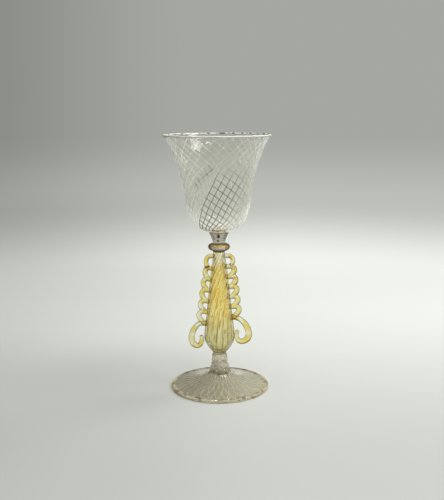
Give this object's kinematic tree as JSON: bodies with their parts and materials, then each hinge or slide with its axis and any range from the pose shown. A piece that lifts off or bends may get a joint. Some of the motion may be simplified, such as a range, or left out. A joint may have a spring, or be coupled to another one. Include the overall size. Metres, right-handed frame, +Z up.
{
  "type": "winged glass goblet",
  "caption": "Blown glass goblet: a flared cup netted with embedded threads, a fluted neck, an amber ring, a twisted ribbed hollow stem with pinched scroll wings, and a folded spreading foot.",
  "frame": {"origin": "centre of the foot's ring on the table that the goblet stands on", "axes": "+Z up the stem, the wings spread along X, -Y is the side that the picture shows"},
  "size_m": [0.078, 0.078, 0.19],
  "materials": {
    "clear_glass": "fire-polished clear glass with a faint grey-green tint",
    "net_glass": "clear blown glass with a diamond net of pale embedded threads",
    "straw_glass": "pale straw-yellow glass, tooled and fire-polished",
    "gold_glass": "gold to olive ribbed glass that clears towards its foot",
    "amber_glass": "deep amber glass"
  },
  "bodies": {
    "root": {"foot_folded_edge": "net_glass", "foot_disc": "net_glass", "foot_knop": "clear_glass", "bead_knop": "clear_glass", "stem_baluster": "gold_glass", "amber_ring": "amber_glass", "fluted_neck": "clear_glass", "cup": "net_glass", "left_wing_waves": "straw_glass", "left_wing_loop": "straw_glass", "left_wing_scroll": "straw_glass", "right_wing_waves": "straw_glass", "right_wing_loop": "straw_glass", "right_wing_scroll": "straw_glass"}
  },
  "joints": []
}
